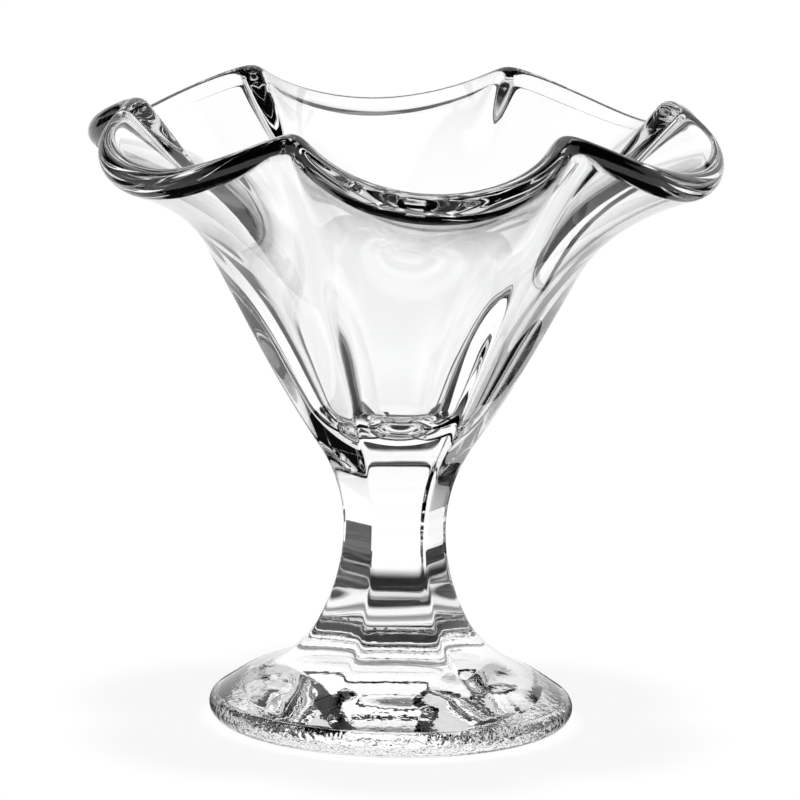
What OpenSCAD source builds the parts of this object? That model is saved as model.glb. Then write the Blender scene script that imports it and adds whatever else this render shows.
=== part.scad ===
// Footed ice cream dish of clear pressed glass, in millimetres.
// A six-sided bowl with a lobed rim stands on a waisted six-sided stem and a round foot.
// The three pieces are welded face to face. One lobe of the rim faces the front, which is -Y.

/* [Overall] */
// Height from the table to the tops of the rim's peaks
total_height = 115; // [108:1:140]
// Distance across two opposite lobes of the rim, at the widest
lobe_span = 119; // [112:1:145]
// Distance across two opposite peaks, at the middle of the rim's edge
peak_span = 97; // [85:1:105]

/* [Bowl] */
// How far the lobes' edges lie below the tops of the peaks
lobe_drop = 8.1; // [6.5:0.1:10]
// Angle above the horizontal at which a lobe's lip points outward
lip_angle = 18; // [12:1:24]
// Angle from upright of a ridge at the weld below the bowl
bowl_lean = 35.2; // [32:0.1:38]
// Angle from upright of the wall at a peak
peak_lean = 37.9; // [35:0.1:41]
// Height at which the flat panels begin to flare into lobes
flare_height = 70; // [60:1:78]
// Thickness of the rim's rounded edge
rim_thickness = 5.6; // [4.6:0.1:7]
// Thickness of the flats' wall at the weld below the bowl
wall_base = 4.8; // [4:0.1:6]
// Shape of the inside at the weld, from 0 for flats like the outside's to 1 for a circle
inside_roundness = 1; // [0:0.1:1]
// Depth of glass between the weld and the middle of the floor
floor_thickness = 3.5; // [2.5:0.1:5]
// Height over which the floor rounds up into the walls
floor_round = 6.5; // [5:0.1:8]

/* [Stem] */
// Height of the weld between bowl and stem
bowl_seat = 51.5; // [46:0.1:62]
// Height of the stem's narrowest place
neck_height = 35.7; // [30:0.1:40]
// Width across the flats at the narrowest place
neck_width = 16.6; // [13.5:0.1:20]
// Radius of the long hollow below the neck, seen from the side
stem_radius = 40; // [33:1:50]

/* [Foot] */
// Height of the weld between stem and foot
foot_seat = 20; // [19:0.1:24]
// Widest diameter of the foot
foot_diameter = 66.8; // [62:0.1:82]
// Slope of the foot's round top
foot_slope = 34.5; // [31:0.5:37]
// Radius of the scoops in which the stem's flats run out on the foot
scoop_radius = 18.5; // [17:0.1:21]
// Radius of the foot's rounded edge
edge_radius = 2.7; // [2.2:0.1:3.3]
// Width of the flat ring that the dish stands on
bearing_width = 6.5; // [5:0.1:8]
// Depth of the hollow under the foot
hollow_depth = 1.6; // [1:0.1:2.2]

/* [Hidden] */

glass_tint = [0.86, 0.92, 0.93, 0.45];
$fn = 96;

// The plan: six flats whose ridges run up to the peaks
sides = 6;
sector = 360 / sides;
half_sector = sector / 2;
flat_ratio = cos(half_sector);
front = -90;

// How finely the bowl is lofted
steps_per_flat = 16;
panel_rings = 3;
lobe_rings = 11;
edge_rings = 8;
floor_rings = 5;

// Shape of a lobe: how broadly its peaks are rounded, and how its reach grows up its height
peak_softness = 0.25;
flare_power = 2;

// Middle of the rounded edge at a peak and at the middle of a lobe, as [radius, height]
edge_half = rim_thickness / 2;
peak_centre = [peak_span / 2, total_height - edge_half];
lobe_centre = [lobe_span / 2 - edge_half, total_height - lobe_drop - edge_half];

// The hollow above the neck leaves the neck upright and runs into the bowl's flats without a kink
neck_half = neck_width / 2;
neck_rise = bowl_seat - neck_height;
seat_angle = atan(flat_ratio * tan(bowl_lean));
seat_half = neck_half + neck_rise * tan(seat_angle / 2);
seat_corner = seat_half / flat_ratio;
upper_radius = neck_rise / sin(seat_angle);

// A ridge of the bowl is a cubic that leaves the weld at the angle bowl_lean and reaches the outer
// face below a peak at the angle peak_lean
ridge_top = peak_centre + edge_half * [cos(peak_lean), -sin(peak_lean)];
ridge_height = ridge_top[1] - bowl_seat;
low_slope = tan(bowl_lean);
high_slope = tan(peak_lean);
mean_slope = (ridge_top[0] - seat_corner) / ridge_height;
slope_bend = 3 * mean_slope - 2 * low_slope - high_slope;
slope_twist = low_slope + high_slope - 2 * mean_slope;

// The flare of the lobes: how far the outer face is carried out and let down at the rim
lip_foot = lobe_centre + edge_half * [sin(lip_angle), -cos(lip_angle)];
flare_reach = lip_foot[0] - flat_ratio * ridge_top[0];
flare_drop = ridge_top[1] - lip_foot[1];
flare_length = ridge_top[1] - flare_height;
lip_run = flat_ratio * high_slope * flare_length + flare_power * flare_reach;
drop_power = (flare_length - tan(lip_angle) * lip_run) / flare_drop;

// Across a flat, p is the angle from its middle, from -half_sector to half_sector.
// Up the wall, u runs from 0 at the weld to 1 at the rim, and the ridges soften on the way.
// Roundness takes the ridges off the lower part: 0 on the outside, inside_roundness on the inside.
function crisp(p) = flat_ratio / cos(p);
function soft(p) = 1 - (1 - flat_ratio) * (1 + cos(sides * p)) / 2;
function plan(p, u, roundness) =
    crisp(p) + (soft(p) - crisp(p)) * u * u
        - roundness * (crisp(p) - flat_ratio) * pow(1 - u * u, 2);
function hinge(x) = sqrt(x * x + peak_softness * peak_softness) - peak_softness;
function swell(p) = hinge(1 - pow(p / half_sector, 2)) / hinge(1);
function ridge_radius(u) =
    seat_corner + u * ridge_height * (low_slope + u * (slope_bend + u * slope_twist));
function flare_at(u) = max(0, (bowl_seat + u * ridge_height - flare_height) / flare_length);
function face(p, u, roundness) = [
    plan(p, u, roundness) * ridge_radius(u) + flare_reach * pow(flare_at(u), flare_power) * swell(p),
    bowl_seat + u * ridge_height - flare_drop * pow(flare_at(u), drop_power) * swell(p)];

// Directions up a face and into the wall, and the inner face at the wall's thickness
small_step = 0.0005;
function upward(p, u, roundness) =
    let (way = face(p, u, roundness) - face(p, u - small_step, roundness))
    way / norm(way);
function inward(p, u, roundness) = let (way = upward(p, u, roundness)) [-way[1], way[0]];
function wall(u) = wall_base + u * (rim_thickness - wall_base);
function outer(p, u) = face(p, u, 0);
function inner(p, u) = face(p, u, inside_roundness) + wall(u) * inward(p, u, inside_roundness);

// Round the edge, turn runs from -90 on the outer face to 90 on the inner face
function edge(p, turn) =
    outer(p, 1) + edge_half * (inward(p, 1, 0) * (1 + sin(turn)) + upward(p, 1, 0) * cos(turn));

// The floor rounds up into the walls without a kink: its arc turns from floor_lean at the walls
// to 90 at the middle
floor_height = bowl_seat + floor_thickness;
floor_u = (floor_thickness + floor_round - wall_base * sin(seat_angle)) / ridge_height;
function floor_lean(p) =
    let (start = inner(p, floor_u))
    let (way = start - inner(p, floor_u - small_step))
    let (share = way[0] / way[1] * (start[1] - floor_height) / start[0])
    asin(share / (1 - share));
function floor_at(p, t) =
    let (start = inner(p, floor_u), lean = floor_lean(p))
    let (turn = lean + (90 - lean) * t)
    [start[0] * cos(turn) / cos(lean),
     floor_height + (start[1] - floor_height) * (1 - sin(turn)) / (1 - sin(lean))];

// Levels of the loft's rings, close together where the lobes flare
flare_u = (flare_height - bowl_seat) / ridge_height;
panel_levels = [for (k = [0:panel_rings - 1]) flare_u * k / panel_rings];
lobe_levels = [for (k = [0:lobe_rings]) flare_u + (1 - flare_u) * k / lobe_rings];
edge_turns = [for (k = [1:edge_rings - 1]) 180 * k / edge_rings - 90];
inner_lobe_levels = [for (k = [0:lobe_rings - 1]) 1 - (1 - flare_u) * k / lobe_rings];
inner_panel_levels = [for (k = [0:panel_rings - 1]) flare_u + (floor_u - flare_u) * k / panel_rings];
floor_levels = [for (k = [0:floor_rings - 1]) k / floor_rings];

// A step of a ring: its angle across its flat, and its place round the dish
ring_steps = sides * steps_per_flat;
function across(i) = (i % steps_per_flat) * sector / steps_per_flat - half_sector;
function around(i) = front - half_sector + i * sector / steps_per_flat;
function placed(point, i) = [point[0] * cos(around(i)), point[0] * sin(around(i)), point[1]];

module bowl() {
    steps = [0:ring_steps - 1];
    outer_levels = concat(panel_levels, lobe_levels);
    inner_levels = concat(inner_lobe_levels, inner_panel_levels);
    rings = concat(
        [for (u = outer_levels) [for (i = steps) placed(outer(across(i), u), i)]],
        [for (turn = edge_turns) [for (i = steps) placed(edge(across(i), turn), i)]],
        [for (u = inner_levels) [for (i = steps) placed(inner(across(i), u), i)]],
        [for (t = floor_levels) [for (i = steps) placed(floor_at(across(i), t), i)]]);
    last = len(rings) - 1;
    under_middle = len(rings) * ring_steps;
    floor_middle = under_middle + 1;
    points = concat([for (ring = rings) each ring], [[0, 0, bowl_seat], [0, 0, floor_height]]);
    skin = [for (k = [0:last - 1], i = steps)
        let (a = k * ring_steps + i, b = k * ring_steps + (i + 1) % ring_steps)
        each [[a, a + ring_steps, b], [b, a + ring_steps, b + ring_steps]]];
    under = [for (i = steps) [under_middle, i, (i + 1) % ring_steps]];
    floor_fan = [for (i = steps)
        [floor_middle, last * ring_steps + (i + 1) % ring_steps, last * ring_steps + i]];
    color(glass_tint) polyhedron(points, concat(skin, under, floor_fan));
}

// A solid with six flats, all of one outline seen from the side
module six_flats(width) {
    intersection_for (turn = [0:sector:180 - sector])
        rotate(half_sector + turn) rotate([90, 0, 0])
            linear_extrude(height = width, center = true) children();
}

// A band of that outline between two heights, hollowed by an arc on each side
module hollow_band(low, high, centre, radius) {
    difference() {
        translate([-centre[0], low]) square([2 * centre[0], high - low]);
        for (side = [-1, 1]) translate([side * centre[0], centre[1]]) circle(radius);
    }
}

// Half width of the flats at the weld between stem and foot, and the angle of the stem's arc there
joint_turn = asin((neck_height - foot_seat) / stem_radius);
joint_half = neck_half + stem_radius * (1 - cos(joint_turn));

module stem() {
    upper_centre = [neck_half + upper_radius, neck_height];
    lower_centre = [neck_half + stem_radius, neck_height];
    color(glass_tint) six_flats(4 * max(joint_half, seat_half)) {
        hollow_band(neck_height, bowl_seat, upper_centre, upper_radius);
        hollow_band(foot_seat, neck_height, lower_centre, stem_radius);
    }
}

// The scoops carry on the arc of the stem's flats and run out level on the foot's round top.
// The level floor lies a hair above the lowest place of the arc, so that the two cross clearly.
hair = 0.001;
scoop_centre = [joint_half + scoop_radius * cos(joint_turn), foot_seat + scoop_radius * sin(joint_turn)];
scoop_floor = scoop_centre[1] - scoop_radius;

module scoops_outline() {
    hollow_band(0, foot_seat, scoop_centre, scoop_radius);
    translate([-foot_diameter, 0]) square([2 * foot_diameter, scoop_floor + hair]);
}

// The round foot before it is scooped: a flat base, a rounded edge and a sloping top round a core.
// The slope starts a hair inside the rounded edge, so that the two cross at one clear place.
core_margin = 1.35;
edge_centre = [foot_diameter / 2 - edge_radius, edge_radius];
slope_start = edge_centre + (edge_radius - hair) * [sin(foot_slope), cos(foot_slope)];
core_half = core_margin * joint_half / flat_ratio;
core_foot = slope_start[1] + (slope_start[0] - core_half) * tan(foot_slope);

module round_foot() {
    rotate_extrude() {
        polygon([[0, 0], [edge_centre[0], 0], edge_centre, slope_start,
            [core_half, core_foot], [core_half, foot_seat], [0, foot_seat]]);
        translate(edge_centre) circle(edge_radius);
    }
}

// The hollow under the foot is a shallow cap inside the flat ring
hollow_half = edge_centre[0] - bearing_width;
hollow_radius = (pow(hollow_half, 2) + pow(hollow_depth, 2)) / (2 * hollow_depth);

module foot() {
    color(glass_tint) difference() {
        intersection() {
            round_foot();
            six_flats(4 * foot_diameter) scoops_outline();
        }
        translate([0, 0, hollow_depth - hollow_radius]) sphere(hollow_radius);
    }
}

bowl();
stem();
foot();
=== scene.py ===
"""Footed ice cream dish of clear pressed glass, seen from the front against white."""
import math

import bpy
import numpy as np
from mathutils import Matrix, Vector


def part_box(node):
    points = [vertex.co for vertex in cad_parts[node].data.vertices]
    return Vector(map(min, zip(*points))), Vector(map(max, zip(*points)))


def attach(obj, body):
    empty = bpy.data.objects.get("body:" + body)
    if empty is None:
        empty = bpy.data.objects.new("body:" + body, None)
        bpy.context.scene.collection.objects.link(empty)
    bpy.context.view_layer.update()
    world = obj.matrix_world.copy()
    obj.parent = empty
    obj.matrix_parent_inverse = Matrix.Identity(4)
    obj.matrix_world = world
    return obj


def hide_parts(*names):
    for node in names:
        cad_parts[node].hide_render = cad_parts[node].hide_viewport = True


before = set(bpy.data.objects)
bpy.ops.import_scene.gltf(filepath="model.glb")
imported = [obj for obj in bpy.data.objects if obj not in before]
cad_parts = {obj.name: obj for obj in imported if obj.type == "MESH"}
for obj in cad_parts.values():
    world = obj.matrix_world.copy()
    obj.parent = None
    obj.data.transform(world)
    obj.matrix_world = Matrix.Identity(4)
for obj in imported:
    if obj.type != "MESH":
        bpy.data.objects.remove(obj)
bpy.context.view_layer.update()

# Sizes in metres and angles in radians. The outer sizes come from the frame, the others are those of the CAD.
MM = 0.001
bowl_low, bowl_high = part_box("bowl")
foot_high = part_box("foot")[1]
TOTAL_HEIGHT = bowl_high.z
BOWL_SEAT = bowl_low.z
FOOT_SEAT = foot_high.z
FOOT_RADIUS = foot_high.x
LOBE_SPAN = bowl_high.y - bowl_low.y
PEAK_SPAN = 97 * MM
LOBE_DROP = 8.1 * MM
LIP_ANGLE = math.radians(18)
BOWL_LEAN = math.radians(35.2)
PEAK_LEAN = math.radians(37.9)
FLARE_HEIGHT = 70 * MM
RIM_THICKNESS = 5.6 * MM
WALL_BASE = 4.8 * MM
FLOOR_THICKNESS = 3.5 * MM
FLOOR_ROUND = 6.5 * MM
NECK_HEIGHT = 35.7 * MM
NECK_WIDTH = 16.6 * MM
STEM_RADIUS = 40 * MM
FOOT_SLOPE = math.radians(34.5)
SCOOP_RADIUS = 18.5 * MM
EDGE_RADIUS = 2.7 * MM
BEARING_WIDTH = 6.5 * MM
HOLLOW_DEPTH = 1.6 * MM

# How the flats flare, and the softness of the ridges, the peaks and the tongues of the ridges on the foot
FLARE_POWER = 2
RIDGE_SOFTNESS = 0.03
PEAK_SOFTNESS = 0.25
TONGUE_SOFTNESS = 0.8 * MM
TONGUE_BLEND = 4 * MM

SIDES = 6
SECTOR = math.tau / SIDES
FLAT_RATIO = math.cos(SECTOR / 2)
FRONT = -math.pi / 2

# Rings of points in each part of a mesh
WALL_RINGS = 90
EDGE_RINGS = 25
FLOOR_RINGS = 28
STEM_RINGS = 40
HOLLOW_RINGS = 30
BEARING_RINGS = 12
FOOT_EDGE_RINGS = 30
FOOT_TOP_RINGS = 70

# The steps round the dish, and each step's angle from the middle of its flat
STEPS_PER_FLAT = 48
STEPS_AROUND = SIDES * STEPS_PER_FLAT
step_angle = math.tau / STEPS_AROUND
around = FRONT - SECTOR / 2 + np.arange(STEPS_AROUND) * step_angle
across = (np.arange(STEPS_AROUND) % STEPS_PER_FLAT) * step_angle - SECTOR / 2

# The attribute of a mesh that says how worn, stippled or pitted the glass is, from 0 to 1
TEXTURE = "texture"


def eased(low, high, count):
    """Values from low to high that crowd together at both ends."""
    return low + (high - low) * (1 - np.cos(np.linspace(0, math.pi, count))) / 2


def fade(value, low, high):
    """0 below low, 1 above high, smooth between them."""
    share = min(max((value - low) / (high - low), 0.0), 1.0)
    return share * share * (3 - 2 * share)


def facet(angle):
    """How far a flat reaches towards an angle, with the ridge to the next flat a little rounded."""
    near = np.cos(angle)
    beyond = np.cos(SECTOR - np.abs(angle))
    return (near + beyond + np.hypot(near - beyond, RIDGE_SOFTNESS)) / 2


def ring(radius, height):
    """One point [radius, height] for each step round the dish."""
    return np.stack(np.broadcast_arrays(radius, height, around)[:2], 1)


def glass_piece(name, rings, texture, low_middle, high_middle, low_weld=False, high_weld=False):
    """A closed mesh through the rings, with a fan to a middle point at each end and a texture for each ring.
    A fan at a weld gets the second material, through which light passes unbent."""
    rings = np.array(rings)
    last = (len(rings) - 1) * STEPS_AROUND
    radius, height = rings[..., 0], rings[..., 1]
    points = np.stack([radius * np.cos(around), radius * np.sin(around), height], -1).reshape(-1, 3)
    points = np.concatenate([points, [[0, 0, low_middle], [0, 0, high_middle]]])
    low_tip, high_tip = len(points) - 2, len(points) - 1
    step = np.arange(STEPS_AROUND)
    ahead = (step + 1) % STEPS_AROUND
    faces = []
    for start in range(0, last, STEPS_AROUND):
        above = start + STEPS_AROUND
        faces += np.stack([start + step, start + ahead, above + ahead, above + step], 1).tolist()
    sides = len(faces)
    faces += [[low_tip, int(b), int(a)] for a, b in zip(step, ahead)]
    faces += [[high_tip, int(last + a), int(last + b)] for a, b in zip(step, ahead)]
    mesh = bpy.data.meshes.new(name)
    mesh.from_pydata(points.tolist(), [], faces)
    welded = [False] * sides + [low_weld] * STEPS_AROUND + [high_weld] * STEPS_AROUND
    mesh.polygons.foreach_set("use_smooth", [not weld for weld in welded])
    mesh.polygons.foreach_set("material_index", [int(weld) for weld in welded])
    shares = np.concatenate([np.repeat(texture, STEPS_AROUND), [texture[0], texture[-1]]])
    mesh.attributes.new(TEXTURE, "FLOAT", "POINT").data.foreach_set("value", shares)
    mesh.update()
    piece = bpy.data.objects.new(name, mesh)
    bpy.context.scene.collection.objects.link(piece)
    return piece


# Bowl: its ridges rise from the stem in a smooth curve, and the flats between them flare into lobes
neck_half = NECK_WIDTH / 2
neck_rise = BOWL_SEAT - NECK_HEIGHT
seat_angle = math.atan(FLAT_RATIO * math.tan(BOWL_LEAN))
seat_half = neck_half + neck_rise * math.tan(seat_angle / 2)
seat_corner = seat_half / FLAT_RATIO
edge_half = RIM_THICKNESS / 2
peak_centre = np.array([PEAK_SPAN / 2, TOTAL_HEIGHT - edge_half])
lobe_centre = np.array([LOBE_SPAN / 2 - edge_half, TOTAL_HEIGHT - LOBE_DROP - edge_half])
ridge_top = peak_centre + edge_half * np.array([math.cos(PEAK_LEAN), -math.sin(PEAK_LEAN)])
ridge_height = ridge_top[1] - BOWL_SEAT
low_slope = math.tan(BOWL_LEAN)
high_slope = math.tan(PEAK_LEAN)
mean_slope = (ridge_top[0] - seat_corner) / ridge_height
slope_bend = 3 * mean_slope - 2 * low_slope - high_slope
slope_twist = low_slope + high_slope - 2 * mean_slope
lip_foot = lobe_centre + edge_half * np.array([math.sin(LIP_ANGLE), -math.cos(LIP_ANGLE)])
flare_reach = lip_foot[0] - FLAT_RATIO * ridge_top[0]
flare_drop = ridge_top[1] - lip_foot[1]
flare_length = ridge_top[1] - FLARE_HEIGHT
lip_run = FLAT_RATIO * high_slope * flare_length + FLARE_POWER * flare_reach
drop_power = (flare_length - math.tan(LIP_ANGLE) * lip_run) / flare_drop


def hinge(x):
    """The size of x, rounded near 0."""
    return np.hypot(x, PEAK_SOFTNESS) - PEAK_SOFTNESS


crisp = FLAT_RATIO / facet(across)
soft = 1 - (1 - FLAT_RATIO) * (1 + np.cos(SIDES * across)) / 2
swell = hinge(1 - (across / (SECTOR / 2)) ** 2) / hinge(1.0)


def face(u, roundness):
    """A face of the bowl at u from the weld (0) to the rim (1); roundness takes the ridges off."""
    rise = u * ridge_height
    ridge = seat_corner + rise * (low_slope + u * (slope_bend + u * slope_twist))
    plan = crisp + (soft - crisp) * u ** 2 - roundness * (crisp - FLAT_RATIO) * (1 - u ** 2) ** 2
    flare = max(0.0, (BOWL_SEAT + rise - FLARE_HEIGHT) / flare_length)
    radius = plan * ridge + flare_reach * flare ** FLARE_POWER * swell
    height = BOWL_SEAT + rise - flare_drop * flare ** drop_power * swell
    return ring(radius, height)


def upward(u, roundness, step=0.0005):
    """The way up along a face, as unit vectors."""
    way = face(u, roundness) - face(u - step, roundness)
    return way / np.linalg.norm(way, axis=1, keepdims=True)


def inward(u, roundness):
    """The way into the glass, square to a face."""
    way = upward(u, roundness)
    return np.stack([-way[:, 1], way[:, 0]], 1)


def outer(u):
    """The outside, with its flats and ridges."""
    return face(u, 0)


def inner(u):
    """The inside is round where the outside has flats, and follows the lobes at the rim."""
    wall = WALL_BASE + u * (RIM_THICKNESS - WALL_BASE)
    return face(u, 1) + wall * inward(u, 1)


def edge(turn):
    """Round the rim, from the outer face (-90 degrees) to the inner face (90 degrees)."""
    depth = inward(1, 0) * (1 + math.sin(turn))
    rise = upward(1, 0) * math.cos(turn)
    return outer(1) + edge_half * (depth + rise)


floor_height = BOWL_SEAT + FLOOR_THICKNESS
floor_u = (FLOOR_THICKNESS + FLOOR_ROUND - WALL_BASE * math.sin(seat_angle)) / ridge_height
floor_start = inner(floor_u)
slope_step = 0.002
floor_way = floor_start - inner(floor_u - slope_step)
floor_slope = floor_way[:, 0] / floor_way[:, 1]
floor_share = floor_slope * (floor_start[:, 1] - floor_height) / floor_start[:, 0]
floor_lean = np.arcsin(floor_share / (1 - floor_share))


def floor_at(t):
    """The bowl's floor, from the wall (0) to the middle (1)."""
    turn = floor_lean + (math.pi / 2 - floor_lean) * t
    radius = floor_start[:, 0] * np.cos(turn) / np.cos(floor_lean)
    drop = (1 - np.sin(turn)) / (1 - np.sin(floor_lean))
    return ring(radius, floor_height + (floor_start[:, 1] - floor_height) * drop)


def bowl_piece():
    """Up the outside, over the rim, down the inside and across the floor; the rim is worn."""
    rim_start = 0.97
    floor_end = 0.985
    outer_levels = eased(0, 1, WALL_RINGS)
    edge_turns = np.linspace(-math.pi / 2, math.pi / 2, EDGE_RINGS)[1:-1]
    inner_levels = eased(1, floor_u, WALL_RINGS)
    floor_levels = np.linspace(0, floor_end, FLOOR_RINGS)[1:]
    rings = [outer(u) for u in outer_levels] + [edge(turn) for turn in edge_turns]
    rings += [inner(u) for u in inner_levels] + [floor_at(t) for t in floor_levels]
    wear = [fade(u, rim_start, 1) for u in outer_levels] + [1.0] * len(edge_turns)
    wear += [fade(u, rim_start, 1) for u in inner_levels] + [0.0] * len(floor_levels)
    return glass_piece("bowl_glass", rings, wear, BOWL_SEAT, floor_height, low_weld=True)


# Stem: six flats, hollowed in an arc above and below the neck
joint_turn = math.asin((NECK_HEIGHT - FOOT_SEAT) / STEM_RADIUS)
joint_half = neck_half + STEM_RADIUS * (1 - math.cos(joint_turn))
upper_radius = neck_rise / math.sin(seat_angle)


def stem_ring(radius, turn):
    """A six-sided ring on an arc of this radius, at this turn above the neck."""
    reach = neck_half + radius * (1 - math.cos(turn))
    return ring(reach / facet(across), NECK_HEIGHT + radius * math.sin(turn))


def stem_piece():
    """From the weld with the foot to the weld with the bowl."""
    rings = [stem_ring(STEM_RADIUS, turn) for turn in eased(-joint_turn, 0, STEM_RINGS)[:-1]]
    rings += [stem_ring(upper_radius, turn) for turn in eased(0, seat_angle, STEM_RINGS)]
    smooth = [0.0] * len(rings)
    return glass_piece("stem_glass", rings, smooth, FOOT_SEAT, BOWL_SEAT, low_weld=True, high_weld=True)


# Foot: hollow, bearing ring, rounded edge, sloping top and the scoops up to the weld
scoop_centre = np.array([joint_half, FOOT_SEAT])
scoop_centre += SCOOP_RADIUS * np.array([math.cos(joint_turn), math.sin(joint_turn)])
edge_centre = np.array([FOOT_RADIUS - EDGE_RADIUS, EDGE_RADIUS])
slope_start = edge_centre + EDGE_RADIUS * np.array([math.sin(FOOT_SLOPE), math.cos(FOOT_SLOPE)])
hollow_half = edge_centre[0] - BEARING_WIDTH
hollow_radius = (hollow_half ** 2 + HOLLOW_DEPTH ** 2) / (2 * HOLLOW_DEPTH)

# Texture of the underside, and the heights on the rounded edge, from -1 to 1, at which it changes
HOLLOW_STIPPLE = 0.04
BEARING_STIPPLE = 0.2
PITTED_FROM = (-0.9, -0.4)
SMOOTH_FROM = (0.55, 0.82)


def foot_top(radius):
    """Height of the foot's top: the lower of the slope and the scoops, softly joined."""
    reach = np.minimum(radius * facet(across), scoop_centre[0])
    depth = np.sqrt(np.maximum(SCOOP_RADIUS ** 2 - (scoop_centre[0] - reach) ** 2, 0))
    scoop = scoop_centre[1] - depth
    slope = slope_start[1] + (slope_start[0] - radius) * math.tan(FOOT_SLOPE)
    joined = (scoop + slope - np.hypot(scoop - slope, TONGUE_SOFTNESS)) / 2
    blend = np.clip((radius - joint_half / FLAT_RATIO) / TONGUE_BLEND, 0, 1)
    return scoop + (joined - scoop) * blend


def edge_stipple(turn):
    """Texture round the foot's edge: the side is pitted, and the top is smooth."""
    height = math.sin(turn)
    pitted = BEARING_STIPPLE + (1 - BEARING_STIPPLE) * fade(height, *PITTED_FROM)
    return pitted * (1 - fade(height, *SMOOTH_FROM))


def hollow_ring(radius):
    """A ring on the round cap of the hollow."""
    return ring(radius, HOLLOW_DEPTH - hollow_radius + math.sqrt(hollow_radius ** 2 - radius ** 2))


def foot_edge_ring(turn):
    """A ring on the rounded edge, at this turn above its middle."""
    return ring(*(edge_centre + EDGE_RADIUS * np.array([math.cos(turn), math.sin(turn)])))


def foot_top_rings():
    """From the edge, where the rings are round, up to the weld, where they are six-sided."""
    first_step = 0.05 * MM
    rounding = 3
    reaches = scoop_centre[0] - SCOOP_RADIUS * np.cos(eased(joint_turn, math.pi / 2, FOOT_TOP_RINGS))
    rings = []
    for reach in reaches[::-1]:
        share = ((reach - reaches[0]) / (reaches[-1] - reaches[0])) ** rounding
        radius = reach / facet(across) * (1 - share) + (slope_start[0] - first_step) * share
        rings.append(ring(radius, foot_top(radius)))
    return rings


def foot_piece():
    """Out along the underside, round the edge and up the top."""
    tip = 0.4 * MM
    hollow = [hollow_ring(radius) for radius in np.linspace(tip, hollow_half, HOLLOW_RINGS)]
    bearing = [ring(radius, 0) for radius in eased(hollow_half, edge_centre[0], BEARING_RINGS)[1:]]
    turns = np.linspace(-math.pi / 2, math.pi / 2 - FOOT_SLOPE, FOOT_EDGE_RINGS)[1:]
    top = foot_top_rings()
    rings = hollow + bearing + [foot_edge_ring(turn) for turn in turns] + top
    stipple = [HOLLOW_STIPPLE] * len(hollow) + [BEARING_STIPPLE] * len(bearing)
    stipple += [edge_stipple(turn) for turn in turns] + [0.0] * len(top)
    return glass_piece("foot_glass", rings, stipple, HOLLOW_DEPTH, FOOT_SEAT, high_weld=True)


# Glass: clear, with the faint ripple of fire polish, painted shade where it is seen at a slant, rougher and
# grained by its texture
GLASS_IOR = 1.52
RIPPLE_SIZE = 9 * MM
RIPPLE_DEPTH = 0.012 * MM
STREAK_TINT = (0.975, 0.985, 0.98, 1)
WHITE = (1, 1, 1, 1)
PAINTED_SLANT_SHADE = [(0.5, 1), (0.9, 0.2)]


def new_material(name):
    material = bpy.data.materials.new(name)
    material.use_nodes = True
    return material, material.node_tree


def set_stops(ramp, stops):
    """Give a colour ramp these (position, level) stops."""
    elements = ramp.color_ramp.elements
    while len(elements) < len(stops):
        elements.new(1.0)
    for element, (position, level) in zip(elements, stops):
        element.position = position
        element.color = (level, level, level, 1)


def noise_node(tree, size, detail):
    noise = tree.nodes.new("ShaderNodeTexNoise")
    noise.inputs["Scale"].default_value = 1 / size
    noise.inputs["Detail"].default_value = detail
    place = tree.nodes.new("ShaderNodeTexCoord")
    tree.links.new(place.outputs["Object"], noise.inputs["Vector"])
    return noise


def bump_node(tree, height, depth):
    bump = tree.nodes.new("ShaderNodeBump")
    bump.inputs["Distance"].default_value = depth
    tree.links.new(height, bump.inputs["Height"])
    return bump


def glass_colour(tree, streaks):
    """Almost white, a little greener in streaks, and darker with painted shade where the glass is seen at a
    slant.
    """
    tint = tree.nodes.new("ShaderNodeValToRGB")
    tint.color_ramp.elements[0].color = STREAK_TINT
    tint.color_ramp.elements[1].color = WHITE
    tree.links.new(streaks, tint.inputs["Fac"])
    # Painted shade: clear glass isn't darker at a slant, so this colour only greys its edges
    slant = tree.nodes.new("ShaderNodeLayerWeight")
    shade = tree.nodes.new("ShaderNodeValToRGB")
    set_stops(shade, PAINTED_SLANT_SHADE)
    tree.links.new(slant.outputs["Facing"], shade.inputs["Fac"])
    colour = tree.nodes.new("ShaderNodeVectorMath")
    colour.operation = "MULTIPLY"
    tree.links.new(tint.outputs["Color"], colour.inputs[0])
    tree.links.new(shade.outputs["Color"], colour.inputs[1])
    return colour.outputs["Vector"]


def glass_material(name, roughness, grain_size, grain_depth):
    """Clear glass with painted shade at a slant; where the texture is 1 it has this roughness and a grain of
    this size and depth.
    """
    material, tree = new_material(name)
    shader = tree.nodes["Principled BSDF"]
    shader.inputs["IOR"].default_value = GLASS_IOR
    shader.inputs["Transmission Weight"].default_value = 1.0
    streaks = noise_node(tree, RIPPLE_SIZE, detail=2).outputs["Fac"]
    tree.links.new(glass_colour(tree, streaks), shader.inputs["Base Color"])
    texture = tree.nodes.new("ShaderNodeAttribute")
    texture.attribute_name = TEXTURE
    rough = tree.nodes.new("ShaderNodeMapRange")
    rough.inputs["To Max"].default_value = roughness
    tree.links.new(texture.outputs["Fac"], rough.inputs["Value"])
    tree.links.new(rough.outputs["Result"], shader.inputs["Roughness"])
    ripple = bump_node(tree, streaks, RIPPLE_DEPTH)
    grain = bump_node(tree, noise_node(tree, grain_size, detail=1).outputs["Fac"], grain_depth)
    tree.links.new(texture.outputs["Fac"], grain.inputs["Strength"])
    tree.links.new(ripple.outputs["Normal"], grain.inputs["Normal"])
    tree.links.new(grain.outputs["Normal"], shader.inputs["Normal"])
    return material


def weld_material():
    """The face between two welded pieces, which light passes unbent."""
    material, tree = new_material("weld")
    tree.nodes.clear()
    clear = tree.nodes.new("ShaderNodeBsdfTransparent")
    output = tree.nodes.new("ShaderNodeOutputMaterial")
    tree.links.new(clear.outputs["BSDF"], output.inputs["Surface"])
    return material


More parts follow.
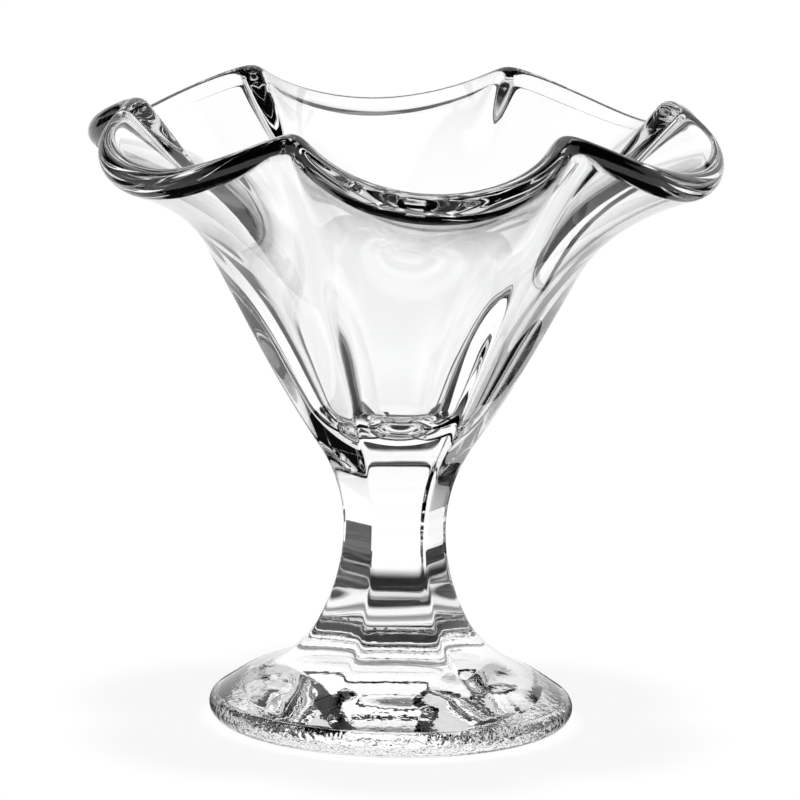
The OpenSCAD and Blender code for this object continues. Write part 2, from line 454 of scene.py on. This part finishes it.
weld = weld_material()
bowl_glass = glass_material("bowl_glass", roughness=0.06, grain_size=2 * MM, grain_depth=0.01 * MM)
stem_glass = glass_material("stem_glass", roughness=0.0, grain_size=2 * MM, grain_depth=0.0)
foot_glass = glass_material("foot_glass", roughness=0.1, grain_size=1.3 * MM, grain_depth=0.35 * MM)
GLASS = [
    (bowl_piece(), "bowl", bowl_glass),
    (stem_piece(), "stem", stem_glass),
    (foot_piece(), "foot", foot_glass),
]
for piece, node, material in GLASS:
    piece.data.materials.append(material)
    piece.data.materials.append(weld)
    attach(piece, "root")
    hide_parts(node)

# Floor: almost white to the camera with a trace of the dish's shadow, and fully shaded in the glass.
# Under the foot lies painted light, a glow in the floor that stands for the light the foot lets through, in
# rings of (radius in mm, level).
FLOOR_HALF = 6.0
FLOOR_DROP = 0.2 * MM
FLOOR_COLOUR = (0.98, 0.98, 0.98, 1)
CAMERA_SHARE = 0.93
PAINTED_UNDER_LIGHT = 0.95
PAINTED_UNDER_RINGS = [(10, 0), (13, 1), (17, 1), (20, 0.2), (24, 0.4), (27, 1), (33.5, 1), (36, 0)]
RING_END = 60 * MM


def stage_mesh(name, points, faces):
    """A thing of the studio, which isn't part of the dish."""
    mesh = bpy.data.meshes.new(name)
    mesh.from_pydata(points, [], faces)
    thing = bpy.data.objects.new(name, mesh)
    bpy.context.scene.collection.objects.link(thing)
    return thing


def painted_light_under_foot(tree):
    """Painted light: glowing rings on the floor under the foot, by distance from the middle."""
    place = tree.nodes.new("ShaderNodeTexCoord")
    distance = tree.nodes.new("ShaderNodeVectorMath")
    distance.operation = "LENGTH"
    tree.links.new(place.outputs["Object"], distance.inputs[0])
    share = tree.nodes.new("ShaderNodeMath")
    share.operation = "DIVIDE"
    share.inputs[1].default_value = RING_END
    tree.links.new(distance.outputs["Value"], share.inputs[0])
    rings = tree.nodes.new("ShaderNodeValToRGB")
    set_stops(rings, [(radius * MM / RING_END, level * PAINTED_UNDER_LIGHT) for radius, level in PAINTED_UNDER_RINGS])
    tree.links.new(share.outputs["Value"], rings.inputs["Fac"])
    light = tree.nodes.new("ShaderNodeEmission")
    tree.links.new(rings.outputs["Color"], light.inputs["Color"])
    return light.outputs["Emission"]


def floor_material():
    """Matte, plus the painted light under the foot, mixed with plain white for the camera."""
    material, tree = new_material("floor_white")
    tree.nodes.clear()
    matte = tree.nodes.new("ShaderNodeBsdfDiffuse")
    matte.inputs["Color"].default_value = FLOOR_COLOUR
    # The matte floor with its real shadow, plus the painted light under the foot
    matte_and_painted_light = tree.nodes.new("ShaderNodeAddShader")
    tree.links.new(matte.outputs["BSDF"], matte_and_painted_light.inputs[0])
    tree.links.new(painted_light_under_foot(tree), matte_and_painted_light.inputs[1])
    path = tree.nodes.new("ShaderNodeLightPath")
    to_camera = tree.nodes.new("ShaderNodeMath")
    to_camera.operation = "MULTIPLY"
    to_camera.inputs[1].default_value = CAMERA_SHARE
    tree.links.new(path.outputs["Is Camera Ray"], to_camera.inputs[0])
    white = tree.nodes.new("ShaderNodeEmission")
    mix = tree.nodes.new("ShaderNodeMixShader")
    tree.links.new(to_camera.outputs["Value"], mix.inputs["Fac"])
    tree.links.new(matte_and_painted_light.outputs["Shader"], mix.inputs[1])
    tree.links.new(white.outputs["Emission"], mix.inputs[2])
    output = tree.nodes.new("ShaderNodeOutputMaterial")
    tree.links.new(mix.outputs["Shader"], output.inputs["Surface"])
    return material


corner_signs = [(-1, -1), (1, -1), (1, 1), (-1, 1)]
corners = [(x * FLOOR_HALF, y * FLOOR_HALF, 0) for x, y in corner_signs]
floor = stage_mesh("floor", corners, [(0, 1, 2, 3)])
floor.location.z = -FLOOR_DROP
floor.data.materials.append(floor_material())

# Camera, fitted to the photo: where it looks from, and the pixel at which the middle of the dish lies
IMAGE = 800
SENSOR = 36
FOCAL_PX = 6978.83
DISTANCE = 1.2746
FAR_CLIP = 100
ELEVATION = math.radians(11.0)
YAW = math.radians(6.28)
ROLL = math.radians(1.3)
TARGET = Vector((0, 0, TOTAL_HEIGHT / 2))
TARGET_PX = (397.4, 411.06)
cam_data = bpy.data.cameras.new("camera")
cam_data.sensor_width = SENSOR
cam_data.lens = FOCAL_PX / IMAGE * SENSOR
cam_data.shift_x = (IMAGE / 2 - TARGET_PX[0]) / IMAGE
cam_data.shift_y = (TARGET_PX[1] - IMAGE / 2) / IMAGE
cam_data.clip_end = FAR_CLIP
camera = bpy.data.objects.new("camera", cam_data)
bpy.context.scene.collection.objects.link(camera)
bpy.context.scene.camera = camera
level_way = Vector((-math.sin(YAW), -math.cos(YAW), 0))
back_way = level_way * math.cos(ELEVATION) + Vector((0, 0, math.sin(ELEVATION)))
rotation = (-back_way).to_track_quat("-Z", "Y").to_matrix() @ Matrix.Rotation(ROLL, 3, "Z")
camera.matrix_world = Matrix.Translation(TARGET + back_way * DISTANCE) @ rotation.to_4x4()

# Dark cards on the floor, which only the glass shows: first and last azimuth in degrees, near and far radius.
# Azimuths run from straight behind the dish to the right.
CARD_LIFT = 0.3 * MM
CARD_STEPS = 25
CARD_COLOUR = (0.02, 0.02, 0.02, 1)
CARDS = {
    "card_stem": (41.5, 48, 0.06, 0.235),
    "card_right": (50, 84, 0.2, 0.9),
    "card_left": (-80, -52, 0.3, 0.9),
    # Painted shadow: the front and two near cards widen the dish's shadow round the foot and carry it towards
    # the camera
    "painted_shadow_front": (90, 270, 0.065, 0.18),
    "painted_shadow_near_left": (-90, -14, 0.056, 0.088),
    "painted_shadow_near_right": (30, 90, 0.056, 0.088),
}
card_black, card_tree = new_material("card_black")
card_tree.nodes["Principled BSDF"].inputs["Base Color"].default_value = CARD_COLOUR
card_tree.nodes["Principled BSDF"].inputs["Roughness"].default_value = 1.0


def dark_strip(name, near_edge, far_edge):
    """A strip between two lines of points that is dark in the glass and nowhere else."""
    count = len(near_edge)
    faces = [(k, k + 1, count + k + 1, count + k) for k in range(count - 1)]
    strip = stage_mesh(name, np.concatenate([near_edge, far_edge]).tolist(), faces)
    strip.data.materials.append(card_black)
    strip.visible_camera = False
    strip.visible_diffuse = False
    strip.visible_shadow = False


lift = np.array([0, 0, CARD_LIFT])
for name, (start, end, near, far) in CARDS.items():
    turns = np.radians(np.linspace(start, end, CARD_STEPS))
    way = np.stack([np.sin(turns), np.cos(turns), 0 * turns], 1)
    dark_strip(name, near * way + lift, far * way + lift)

# Painted shade: a dark sheet close under the back of the rim, edge-on to the camera and seen only in the
# glass, draws the dark line along the rim.
# It reaches as far round as the sine of the angle round the dish is above the start value given below.
RIM_SHADE_DROP = 0.2 * MM
RIM_SHADE_DEPTH = 3.5 * MM
RIM_SHADE_START = 0.2
rim_radius, rim_height = outer(1).T
rim_line = np.stack([rim_radius * np.cos(around), rim_radius * np.sin(around), rim_height - RIM_SHADE_DROP], 1)
rim_shade_edge = rim_line[np.sin(around) > RIM_SHADE_START]
dark_strip("painted_rim_shade", rim_shade_edge, rim_shade_edge - RIM_SHADE_DEPTH * np.array(back_way))

# Soft overhead lamp, which lights the floor and casts the dish's shadow
SUN_SPREAD = math.radians(8)
SUN_LEVEL = 1.1 * math.pi
sun = bpy.data.lights.new("overhead", "SUN")
sun.angle = SUN_SPREAD
sun.energy = SUN_LEVEL
lamp = bpy.data.objects.new("overhead", sun)
lamp.visible_glossy = False
lamp.visible_transmission = False
bpy.context.scene.collection.objects.link(lamp)

# World: white to the camera. The glass shows a white backdrop behind the dish with a dark band across it
# and a low grey screen on each side, by degrees of azimuth or height. Matte surfaces get no light from it.
SKY_LEVEL = 1.08
DARK_LEVEL = 0.02
BACKDROP = [(-40, DARK_LEVEL), (-34, SKY_LEVEL), (52, SKY_LEVEL), (58, DARK_LEVEL)]
BAND = [(0, 1), (24.5, 1), (26, 0), (29.6, 0), (30.2, 1), (90, 1)]
SCREEN_LEVEL = 0.75
LEFT_SCREEN = [(-130, 0), (-120, SCREEN_LEVEL), (-58, SCREEN_LEVEL), (-50, 0)]
RIGHT_SCREEN = [(56, 0), (62, SCREEN_LEVEL), (120, SCREEN_LEVEL), (130, 0)]
SCREEN_TOP = [(0, 1), (34, 1), (40, 0)]


def world_math(tree, operation, first, second):
    """A math node on two sockets, or on a socket and a number."""
    node = tree.nodes.new("ShaderNodeMath")
    node.operation = operation
    for socket, value in zip(node.inputs, (first, second)):
        if isinstance(value, float):
            socket.default_value = value
        else:
            tree.links.new(value, socket)
    return node.outputs["Value"]


def round_ramp(tree, turn, stops):
    """Levels by azimuth in degrees."""
    ramp = tree.nodes.new("ShaderNodeValToRGB")
    set_stops(ramp, [(0.5 + degrees / 360, level) for degrees, level in stops])
    tree.links.new(turn, ramp.inputs["Fac"])
    return ramp.outputs["Color"]


def height_ramp(tree, way, stops):
    """Levels by degrees above the horizon."""
    ramp = tree.nodes.new("ShaderNodeValToRGB")
    set_stops(ramp, [(math.sin(math.radians(degrees)), level) for degrees, level in stops])
    tree.links.new(way.outputs["Z"], ramp.inputs["Fac"])
    return ramp.outputs["Color"]


def studio_world():
    """The backdrop and the screens in the glass, plain white to the camera."""
    world = bpy.data.worlds.new("studio")
    world.use_nodes = True
    tree = world.node_tree
    tree.nodes.clear()
    place = tree.nodes.new("ShaderNodeTexCoord")
    way = tree.nodes.new("ShaderNodeSeparateXYZ")
    tree.links.new(place.outputs["Generated"], way.inputs["Vector"])
    azimuth = world_math(tree, "ARCTAN2", way.outputs["X"], way.outputs["Y"])
    turn = world_math(tree, "MULTIPLY_ADD", azimuth, 1 / math.tau)
    turn.node.inputs[2].default_value = 0.5
    backdrop_width = round_ramp(tree, turn, BACKDROP)
    backdrop = world_math(tree, "MULTIPLY", backdrop_width, height_ramp(tree, way, BAND))
    screen_width = round_ramp(tree, turn, LEFT_SCREEN + RIGHT_SCREEN)
    screens = world_math(tree, "MULTIPLY", screen_width, height_ramp(tree, way, SCREEN_TOP))
    path = tree.nodes.new("ShaderNodeLightPath")
    seen = world_math(tree, "LESS_THAN", path.outputs["Diffuse Depth"], 1.0)
    level = world_math(tree, "MAXIMUM", backdrop, screens)
    level = world_math(tree, "MULTIPLY", level, seen)
    level = world_math(tree, "MAXIMUM", level, path.outputs["Is Camera Ray"])
    back = tree.nodes.new("ShaderNodeBackground")
    back.inputs["Color"].default_value = WHITE
    tree.links.new(level, back.inputs["Strength"])
    output = tree.nodes.new("ShaderNodeOutputWorld")
    tree.links.new(back.outputs["Background"], output.inputs["Surface"])
    return world


bpy.context.scene.world = studio_world()

bpy.context.scene.view_settings.view_transform = "Standard"
